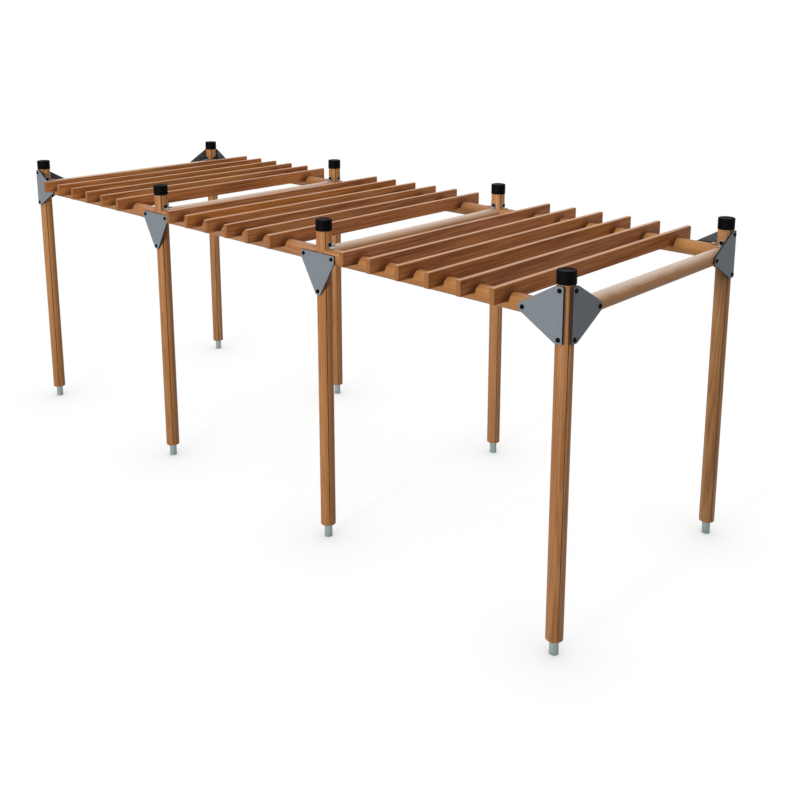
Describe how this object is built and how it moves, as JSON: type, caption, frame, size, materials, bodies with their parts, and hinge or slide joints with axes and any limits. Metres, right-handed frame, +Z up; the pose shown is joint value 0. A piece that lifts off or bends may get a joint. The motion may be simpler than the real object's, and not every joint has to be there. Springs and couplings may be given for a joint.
{
  "type": "wooden pergola",
  "caption": "Open timber pergola: two rows of round posts on steel feet carry long beams, cross beams and edge-on rafter boards, tied by triangular plates.",
  "frame": {"origin": "on the ground at the centre of the plan, under the middle of the second bay", "axes": "+X along the rows of posts, towards the end bay that is nearest in the picture; +Y across, from the front row to the back row; +Z up"},
  "size_m": [6.7646, 2.57, 2.622],
  "materials": {
    "round_timber": "brown impregnated softwood with fine lengthwise grain, satin",
    "rafter_board": "brown impregnated planed board, darker and redder than the round timber, paler top edge",
    "cap_plastic": "black moulded plastic, satin",
    "plate_laminate": "grey-blue compact laminate sheet with black edges",
    "galvanised_steel": "dull zinc coated steel tube",
    "bracket_steel": "bright zinc coated steel angle"
  },
  "bodies": {
    "root": {"beam_brackets_back": "bracket_steel", "beam_brackets_front": "bracket_steel", "corner_plates_back_1": "plate_laminate", "corner_plates_back_4": "plate_laminate", "corner_plates_front_1": "plate_laminate", "corner_plates_front_4": "plate_laminate", "cross_beam_1": "round_timber", "cross_beam_2": "round_timber", "cross_beam_3": "round_timber", "cross_beam_4": "round_timber", "long_beam_back_1": "round_timber", "long_beam_back_2": "round_timber", "long_beam_back_3": "round_timber", "long_beam_front_1": "round_timber", "long_beam_front_2": "round_timber", "long_beam_front_3": "round_timber", "middle_plate_back_2": "plate_laminate", "middle_plate_back_3": "plate_laminate", "middle_plate_front_2": "plate_laminate", "middle_plate_front_3": "plate_laminate", "plate_bolts_back": "cap_plastic", "plate_bolts_front": "cap_plastic", "post_back_1": "round_timber", "post_back_2": "round_timber", "post_back_3": "round_timber", "post_back_4": "round_timber", "post_caps_back": "cap_plastic", "post_caps_front": "cap_plastic", "post_front_1": "round_timber", "post_front_2": "round_timber", "post_front_3": "round_timber", "post_front_4": "round_timber", "rafters_bay_1": "rafter_board", "rafters_bay_2": "rafter_board", "rafters_bay_3": "rafter_board", "steel_feet_back": "galvanised_steel", "steel_feet_front": "galvanised_steel"}
  },
  "joints": []
}
